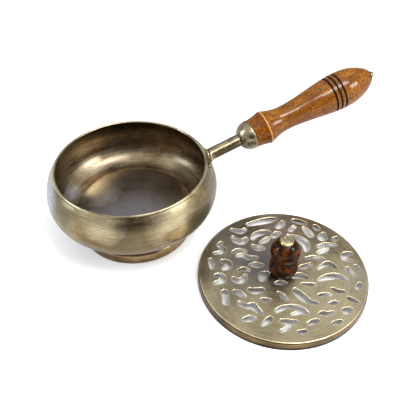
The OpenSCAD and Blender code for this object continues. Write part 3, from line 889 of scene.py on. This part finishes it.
print("grip's radius at the waist and the swell:", grip_radius(WAIST_AT), grip_radius(SWELL_AT))

# %% [markdown]
# The lathe tool needs the places where the outline gets a point: every two millimetres, with more of them
# across each groove, at the ridge and at both ends. The front end goes on into the cup as a plug.

# %% The grip
PLUG_L = 6.0
across_ring = (-RING_HALF, -0.55, -0.3, 0.0, 0.3, 0.55, RING_HALF)
stops = sorted(
    [float(s) for s in range(1, int(GRIP_L), 2) if off_rings(s) > 1.3]
    + [ring + step for ring in RINGS for step in across_ring]
    + [RIDGE_AT + step for step in (-0.6, -0.2, 0.2, 0.6)]
    + [0.4, GRIP_L - 0.9]
)
grip_line = (
    [(BORE_R, -PLUG_L), (9.5, -PLUG_L), (10.75, -1.0), (10.75, 0.0), (FRONT_R - 0.3, 0.0)]
    + [(grip_radius(s), s) for s in stops]
    + [(END_R + 0.92, GRIP_L - 0.45), (END_R + 0.6, GRIP_L - 0.15), (END_R + 0.05, GRIP_L)]
    + [(BORE_R, GRIP_L), (BORE_R, -PLUG_L)]
)
grip = turned("grip_turned", grip_line, steps=128, smooth=50)
at_grip = on_handle @ Matrix.Translation((0, 0, CUP_END * MM))
settle(grip, at_grip, "pan", "amber_wood", ["grip"], grip_wood, burnt_wood)
to_grip = at_grip.inverted()
for face in grip.data.polygons:
    spot = to_grip @ face.center / MM
    if math.hypot(spot.x, spot.y) > WAIST_R and off_rings(spot.z) < RING_HALF:
        face.material_index = 1
print("faces in the burnt rings:", sum(face.material_index for face in grip.data.polygons))

# %% [markdown]
# A blackened washer and a small domed nut on the tang close the handle's end.

# %% The end washer and its nut
at_end = on_handle @ Matrix.Translation((0, 0, grip_end * MM))
WASHER_T, WASHER_R = 1.8, 5.75
NUT_R, NUT_SIDE, NUT_HOLLOW = 3.0, 3.4, 4.9
washer_line = [
    (BORE_R, 0), (WASHER_R - 0.3, 0), (WASHER_R, 0.3), (WASHER_R, WASHER_T - 0.45),
    (WASHER_R - 0.15, WASHER_T - 0.15), (WASHER_R - 0.55, WASHER_T), (BORE_R, WASHER_T), (BORE_R, 0),
]
washer = turned("end_washer_turned", washer_line, steps=64)
settle(washer, at_end, "pan", "blackened_metal", ["end_washer"], black)

nut_line = (
    [(0, NUT_HOLLOW), (BORE_R, NUT_HOLLOW), (BORE_R, WASHER_T)]
    + [(NUT_R - 0.2, WASHER_T), (NUT_R, WASHER_T + 0.2)]
    + arc(0, NUT_SIDE, NUT_R, 0, 90, 10)
)
nut = turned("end_nut_domed", nut_line, steps=48)
settle(nut, at_end, "pan", "polished_brass", ["end_nut"], handle_brass_with_painted_light)

# %% [markdown]
# The lid's disc was pierced by hand: about sixty curled openings with soft corners, whose cut edges were
# filed round and shine. The openings are the frame's own. A copy of its plate is merged, and the sharp edges
# of its top face are picked out, apart from the one round the outside.

# %% Pick out the openings
LID_TOP, PLATE_T, PLATE_R = 7.1, 1.2, 62.0
HAIR = 0.05  # mm, too little to be seen
choose(frame["nodes"]["lid_plate"])
bpy.ops.object.duplicate(linked=False)
plate = bpy.context.object
plate.name = plate.data.name = "plate_lines"
bpy.ops.object.parent_clear(type="CLEAR_KEEP_TRANSFORM")
close_up(MERGE)
bpy.ops.object.mode_set(mode="EDIT")
bpy.ops.mesh.select_mode(type="EDGE")
bpy.ops.mesh.select_all(action="DESELECT")
bpy.ops.mesh.edges_select_sharp(sharpness=math.radians(60))
bpy.ops.object.mode_set(mode="OBJECT")
points = plate.data.vertices
for edge in plate.data.edges:
    ends = [points[i].co for i in edge.vertices]
    high = all(end.z > (LID_TOP - HAIR) * MM for end in ends)
    outside = all(out_from(lid_axis, end) > PLATE_R - HAIR for end in ends)
    edge.select = edge.select and high and not outside
for point in points:
    point.select = False
for edge in plate.data.edges:
    if edge.select:
        for i in edge.vertices:
            points[i].select = True
for face in plate.data.polygons:
    face.select = False
print("edges of the openings:", sum(edge.select for edge in plate.data.edges))

# %% [markdown]
# The picked edges are taken off as a mesh of lines, and the rest of the copy is dropped. The lines are split
# once and smoothed, so that the filed edge can't cross itself at a kink.

# %% Take the openings off as lines
bpy.ops.object.mode_set(mode="EDIT")
bpy.ops.mesh.select_mode(type="EDGE")
bpy.ops.mesh.separate(type="SELECTED")
bpy.ops.object.mode_set(mode="OBJECT")
openings = next(o for o in bpy.context.selected_objects if o != plate)
bpy.data.objects.remove(plate)
choose(openings)
bpy.ops.object.mode_set(mode="EDIT")
bpy.ops.mesh.select_mode(type="EDGE")
bpy.ops.mesh.select_all(action="SELECT")
bpy.ops.mesh.delete(type="ONLY_FACE")
bpy.ops.mesh.select_mode(type="VERT")
bpy.ops.mesh.select_all(action="SELECT")
bpy.ops.mesh.subdivide(number_cuts=1)
bpy.ops.mesh.vertices_smooth(factor=0.5, repeat=1)
bpy.ops.object.mode_set(mode="OBJECT")
print("openings' points:", len(openings.data.vertices), "faces:", len(openings.data.polygons))

# %% [markdown]
# The lines become a flat curve, which fills itself, gets a thickness and rounds its edges in one step. Each
# opening is filed a quarter of a millimetre wider than it was sawn. A ring is added round them, a little past
# the flat part, so that its own filed edge can be cut away. The curve is filled at a thousand times its size,
# a millimetre as a metre, because the fill drops fine steps.

# %% Fill the plate
RING_STEPS = 192
EDGE = 0.3  # mm, the filed edge
FILED = 0.25  # mm, filed away all round each opening
openings.data.transform(Matrix.Scale(1 / MM, 4) @ on_lid.inverted())
bpy.ops.object.mode_set(mode="EDIT")
bpy.ops.mesh.primitive_circle_add(
    vertices=RING_STEPS, radius=PLATE_R + EDGE + FILED, location=(0, 0, 0)
)
bpy.ops.object.mode_set(mode="OBJECT")
bpy.ops.object.convert(target="CURVE")
lines = bpy.context.object
shape = lines.data
shape.dimensions = "2D"
bpy.ops.object.mode_set(mode="EDIT")
bpy.ops.curve.select_all(action="SELECT")
bpy.ops.curve.spline_type_set(type="BEZIER")
bpy.ops.curve.handle_type_set(type="AUTOMATIC")
bpy.ops.object.mode_set(mode="OBJECT")
for spline in shape.splines:
    spline.use_cyclic_u = True
    spline.resolution_u = 1
shape.fill_mode = "BOTH"
shape.extrude = PLATE_T / 2 - EDGE
shape.bevel_depth = EDGE
shape.bevel_resolution = 1
shape.offset = -EDGE - FILED
print("splines:", len(shape.splines))

# %% [markdown]
# The curve is made a mesh and put back at its real size and place. What lies past the flat part is cut away:
# there the turned band takes over, on the same ring of points.

# %% Trim the plate
PLATE_LIMIT = PLATE_R + 0.06
choose(lines)
bpy.ops.object.convert(target="MESH")
plate = bpy.context.object
plate.name = plate.data.name = "lid_pierced"
bpy.ops.object.transform_apply(location=True, rotation=True, scale=True)
plate.data.transform(
    on_lid @ Matrix.Translation((0, 0, (LID_TOP - PLATE_T / 2) * MM)) @ Matrix.Scale(MM, 4)
)
close_up(0.01)
choose(plate)
bpy.ops.object.mode_set(mode="EDIT")
bpy.ops.mesh.select_mode(type="VERT")
bpy.ops.mesh.select_all(action="DESELECT")
bpy.ops.object.mode_set(mode="OBJECT")
for point in plate.data.vertices:
    point.select = out_from(lid_axis, point.co) > PLATE_LIMIT
bpy.ops.object.mode_set(mode="EDIT")
bpy.ops.mesh.delete(type="VERT")
bpy.ops.object.mode_set(mode="OBJECT")
flat = sum(face.area for face in plate.data.polygons if face.normal.z > 0.999)
print("plate faces:", len(plate.data.polygons), "flat top in mm2:", round(flat / MM**2, 1))

# %% [markdown]
# The band is the disc's own edge, turned down over a form: a rounded shoulder and a plain flange that flares
# a little. It is turned on the lathe like the rest, then joined to the plate, point on point.

# %% The band
LID_R, LID_ROUND = 65.0, 1.2
plate_low = LID_TOP - PLATE_T
band_line = (
    [(PLATE_R, LID_TOP), (PLATE_R + 1.0, LID_TOP)]
    + arc(LID_R - LID_ROUND, plate_low, LID_ROUND, 90, 0, 8)
    + [(LID_R + 0.1, 4.6), (LID_R + 0.3, 2.4), (LID_R + 0.47, 0.5), (LID_R + 0.4, 0.15)]
    + [(LID_R + 0.1, 0.0), (LID_R - 0.15, 0.1), (LID_R - 0.28, 0.4), (LID_R - 0.5, 2.4)]
    + [(LID_R - 0.75, 5.0), (LID_R - 1.1, 5.75), (LID_R - 1.8, plate_low), (PLATE_R, plate_low)]
)
band = turned("lid_band_turned", band_line, steps=RING_STEPS)
choose(band)
band.matrix_world = on_lid @ band.matrix_world
bpy.ops.object.transform_apply(location=True, rotation=True, scale=True)
choose(plate, band)
bpy.ops.object.join()
lid = bpy.context.object
close_up(0.03)
choose(lid)
bpy.ops.object.shade_smooth_by_angle(angle=math.radians(50))
for face in lid.data.polygons:
    face.use_smooth = face.use_smooth and abs(face.normal.z) < 0.999
settle(
    lid, Matrix.Identity(4), "lid", "pierced_brass", ["lid_plate", "lid_band"],
    lid_brass_with_painted_light, cut_and_highlight_brass, painted_shade_brass, band_brass_with_painted_shadow,
)

# %% [markdown]
# The lid is one mesh with four finishes too. The sides of the openings are bright, and so is a highlight that
# is painted along the shoulder. The outside of the band is brown, and painted shade makes its foot, its
# inside and the underside dark.

# %% The lid's four finishes
ON_TOP, CUT_AND_HIGHLIGHT, PAINTED_SHADE, ON_BAND = range(4)
# the highlight painted along the shoulder lies between these radii
PAINTED_HIGHLIGHT_FROM, PAINTED_HIGHLIGHT_TO = 63.5, 64.3  # mm, the line along the shoulder
# painted shade makes the outside of the band dark below this height
OUTER_FOOT = 2.5  # mm, the outside of the band is dark below this
INNER_TOP = plate_low - HAIR
for face in lid.data.polygons:
    out = out_from(lid_axis, face.center)
    if out < PLATE_R - 0.5:
        face.material_index = ON_TOP if abs(face.normal.z) > 0.98 else CUT_AND_HIGHLIGHT
    # a painted highlight along the shoulder
    elif PAINTED_HIGHLIGHT_FROM < out < PAINTED_HIGHLIGHT_TO:
        face.material_index = CUT_AND_HIGHLIGHT
    elif out > PAINTED_HIGHLIGHT_TO:
        face.material_index = ON_BAND
    # painted shade on the band's foot, its inside and the underside
    painted_shade_below = OUTER_FOOT if out > LID_R else INNER_TOP
    if face.center.z < painted_shade_below * MM or face.normal.z < -0.98:
        face.material_index = PAINTED_SHADE
counts = [sum(face.material_index == i for face in lid.data.polygons) for i in range(4)]
print("lid faces on top, cut, dark and on the band:", counts)

# %% [markdown]
# The knob is one turning of dark red wood, a ball on a smaller foot, with a narrow neck between them.

# %% The knob
STUD_R, STUD_BORE = 2.25, 2.35
CAP_Z = 32.97
KNOB_FOOT_Z, KNOB_FOOT_R = 7.1, 11.0
BALL_Z, BALL_R = 23.0, 11.2
NECK_Z, KNOB_NECK_R = 14.8, 8.8
knob_line = (
    [(STUD_BORE, 0.0), (8.3, 0.0)]
    + arc(0, KNOB_FOOT_Z, KNOB_FOOT_R, -40.2, 34, 16)
    + [(KNOB_NECK_R + 0.08, NECK_Z - 0.9), (KNOB_NECK_R, NECK_Z), (KNOB_NECK_R + 0.08, NECK_Z + 0.8)]
    + arc(0, BALL_Z, BALL_R, -37.5, 62.9, 22)
    + [(STUD_BORE, CAP_Z), (STUD_BORE, 0.0)]
)
at_plate = on_lid @ Matrix.Translation((0, 0, LID_TOP * MM))
knob = turned("knob_turned", knob_line, steps=96, smooth=60)
settle(knob, at_plate, "lid", "dark_wood", ["lid_knob"], knob_wood)

# %% [markdown]
# A brass eyelet closes the hole on top of the knob, and the rounded end of a steel stud shows in its middle.
# The stud runs down through the knob and the plate.

# %% The eyelet and the stud
CAP_R, STUD_TOP, STUD_LOW = 5.1, 35.17, -5.4
cap_line = [
    (STUD_BORE, CAP_Z), (CAP_R - 0.2, CAP_Z), (CAP_R, CAP_Z + 0.2), (CAP_R, CAP_Z + 0.7),
    (CAP_R - 0.2, CAP_Z + 1.1), (CAP_R - 0.7, CAP_Z + 1.45), (CAP_R - 1.5, CAP_Z + 1.75),
    (CAP_R - 2.1, CAP_Z + 1.88), (CAP_R - 2.5, CAP_Z + 1.85),
    (STUD_BORE, CAP_Z + 1.6), (STUD_BORE, CAP_Z),
]
cap = turned("knob_eyelet", cap_line, steps=64)
settle(cap, at_plate, "lid", "polished_brass", ["knob_cap"], cap_brass)

stud_line = [
    (0, STUD_LOW), (STUD_R - 0.4, STUD_LOW), (STUD_R, STUD_LOW + 0.4), (STUD_R, STUD_TOP - 0.52),
    (STUD_R - 0.3, STUD_TOP - 0.17), (1.2, STUD_TOP - 0.03), (0, STUD_TOP),
]
stud = turned("knob_stud_turned", stud_line, steps=48)
settle(stud, at_plate, "lid", "plain_steel", ["knob_stud"], steel)

# %% [markdown]
# Under the plate the stud takes a washer and a hexagonal nut, which are out of sight until the lid is lifted.
# The nut comes off the lathe tool too, in six steps instead of many, and is set 30 degrees round.

# %% The lid's washer and nut
LID_WASHER_R, LID_WASHER_T = 6.0, 0.8
seat_z = -PLATE_T - LID_WASHER_T
lid_washer_line = [
    (STUD_BORE, seat_z), (LID_WASHER_R - 0.2, seat_z), (LID_WASHER_R, seat_z + 0.15),
    (LID_WASHER_R, -PLATE_T - 0.15), (LID_WASHER_R - 0.2, -PLATE_T), (STUD_BORE, -PLATE_T),
    (STUD_BORE, seat_z),
]
lid_washer = turned("lid_washer_turned", lid_washer_line, steps=64)
settle(lid_washer, at_plate, "lid", "plain_steel", ["lid_washer"], steel)

HEX_T = 2.6
HEX_R = 3.75 / math.cos(math.pi / 6)
hex_low = seat_z - HEX_T
hex_line = [
    (STUD_BORE, hex_low), (3.5, hex_low), (HEX_R - 0.15, hex_low + 0.2), (HEX_R, hex_low + 0.4),
    (HEX_R, seat_z), (STUD_BORE, seat_z), (STUD_BORE, hex_low),
]
hex_nut = turned("lid_nut_hex", hex_line, steps=6, smooth=20)
at_nut = at_plate @ Matrix.Rotation(math.pi / 6, 4, "Z")
settle(hex_nut, at_nut, "lid", "plain_steel", ["lid_nut"], steel)

# %% [markdown]
# The table and the room are small trees of nodes as well, and share two steps.


# %% Stage tools
def eased(tree, value, low, high, to_low, to_high):
    """A value eased from one range onto another."""
    return add_node(
        tree,
        "MapRange",
        {"Value": value, "From Min": low, "From Max": high, "To Min": to_low, "To Max": to_high},
        interpolation_type="SMOOTHSTEP",
    ).outputs[0]


def worked_out(tree, operation, first, second):
    """Two values added, multiplied or joined by another operation."""
    return add_node(tree, "Math", {0: first, 1: second}, operation=operation).outputs[0]


# %% [markdown]
# The set lies on a plain white table that runs on out of sight, with a little glow so that it reads as white.
# It is lit like everything else, so the grey shadows at the foot stay. The glow fades out under the lid,
# which paints a shadow there for the openings to show, and grows again far off, so that no horizon is seen.

# %% The table
TABLE_GLOW = 0.24
# under the lid the glow drops to this, a painted shadow that the openings show
GLOW_IN_PAINTED_LID_SHADOW = 0.02
FAR_GLOW = 0.36
UNDER_LID, PAST_LID = 50 * MM, 65 * MM
FAR_FROM, FAR_TO = 400 * MM, 1400 * MM
bpy.ops.object.select_all(action="DESELECT")
bpy.ops.mesh.primitive_plane_add(size=6, location=(0, 0, -HAIR * MM))
table = bpy.context.object
table.name = "table"
table_paint = bpy.data.materials.new("white table")
table_paint.use_nodes = True
tree = table_paint.node_tree
tree.nodes.clear()
seen = add_node(tree, "LightPath").outputs["Is Camera Ray"]
here = add_node(tree, "TexCoord").outputs["Object"]
lid_centre = (lid_axis.x, lid_axis.y, 0)
off = add_node(tree, "VectorMath", {0: here, 1: lid_centre}, operation="DISTANCE").outputs["Value"]
near_glow = eased(tree, off, UNDER_LID, PAST_LID, GLOW_IN_PAINTED_LID_SHADOW, TABLE_GLOW)
far_glow = eased(tree, off, FAR_FROM, FAR_TO, 0.0, FAR_GLOW)
level = worked_out(tree, "MULTIPLY", seen, worked_out(tree, "ADD", near_glow, far_glow))
paint = add_node(tree, "BsdfDiffuse", {"Color": (0.87, 0.87, 0.87, 1)}).outputs[0]
glow = add_node(tree, "Emission", {"Color": (1, 1, 1, 1), "Strength": level}).outputs[0]
both = add_node(tree, "AddShader", {0: paint, 1: glow}).outputs[0]
add_node(tree, "OutputMaterial", {"Surface": both})
table.data.materials.append(table_paint)
table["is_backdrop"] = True
print("table's nodes:", len(tree.nodes))

# %% [markdown]
# The room is a studio. The camera would see it white all over, but what the brass reflects has shape: white
# walls near the horizon, a dimmer ring above them, a bright ceiling, a light wall at the right, and a dark
# place low on the camera's side, which gives the belly its soft dark middle.

# %% The room
CEILING_LOW, CEILING_HIGH = 0.44, 1.25
TO_RIGHT_WALL, TO_DARK = (0.93, -0.28, 0.22), (0.08, -0.98, 0.17)
world = bpy.data.worlds.new("studio")
bpy.context.scene.world = world
world.use_nodes = True
tree = world.node_tree
way = add_node(tree, "TexCoord").outputs["Generated"]
up = add_node(tree, "SeparateXYZ", {0: way}).outputs[2]


def toward(direction, wide, narrow, strength):
    """A soft round patch of light or dark in that direction; wide and narrow are cosines."""
    side = add_node(tree, "VectorMath", {0: way, 1: direction}, operation="DOT_PRODUCT")
    return eased(tree, side.outputs["Value"], wide, narrow, 0.0, strength)


ceiling = eased(tree, up, 0.55, 0.95, CEILING_LOW, CEILING_HIGH)
walls = eased(tree, up, 0.12, 0.45, 0.25, 0.0)
right_wall = toward(TO_RIGHT_WALL, 0.8, 0.97, 0.5)
level = worked_out(tree, "ADD", worked_out(tree, "ADD", ceiling, walls), right_wall)
dark_place = toward(TO_DARK, 0.86, 0.985, 0.92)
level = worked_out(tree, "MULTIPLY", level, worked_out(tree, "SUBTRACT", 1.0, dark_place))
seen = add_node(tree, "LightPath").outputs["Is Camera Ray"]
background = tree.nodes["Background"]
background.inputs["Color"].default_value = (1, 1, 1, 1)
tree.links.new(worked_out(tree, "MAXIMUM", seen, level), background.inputs["Strength"])
print("studio's nodes:", len(tree.nodes))

# %% [markdown]
# Three soft lamps give the gleams that the room alone would leave too even: a broad one overhead, a tall cool
# one at the left like a window, and one at the right. They are area lamps, because polished brass shows the
# shape of whatever lights it.


# %% The lamps
def soft_lamp(name, place, width, height, power, colour=(1, 1, 1)):
    """An area lamp that faces the origin, in metres and watts."""
    light = bpy.data.lights.new(name, "AREA")
    light.shape = "RECTANGLE"
    light.size = width
    light.size_y = height
    light.energy = power
    light.color = colour
    lamp = bpy.data.objects.new(name, light)
    lamp.location = place
    lamp.rotation_euler = (-lamp.location).to_track_quat("-Z", "Y").to_euler()
    bpy.context.scene.collection.objects.link(lamp)
    print("lamp:", name, power, "W")


soft_lamp("overhead", (0.32, -0.28, 0.95), 0.45, 0.3, 6)
soft_lamp("window", (-0.85, -0.1, 0.4), 0.16, 0.5, 3.5, (0.75, 0.88, 1.0))
soft_lamp("right", (0.78, -0.3, 0.6), 0.3, 0.3, 4, (0.93, 0.96, 1.0))

# %% [markdown]
# Colours are shown as they are written, with no film look. Then the box of what is seen is printed. The
# looks may not change the size.

# %% View and sizes
bpy.context.scene.view_settings.view_transform = "Standard"
low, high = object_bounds()
print("visual box in mm:", [round(v / MM, 2) for v in (high - low)])
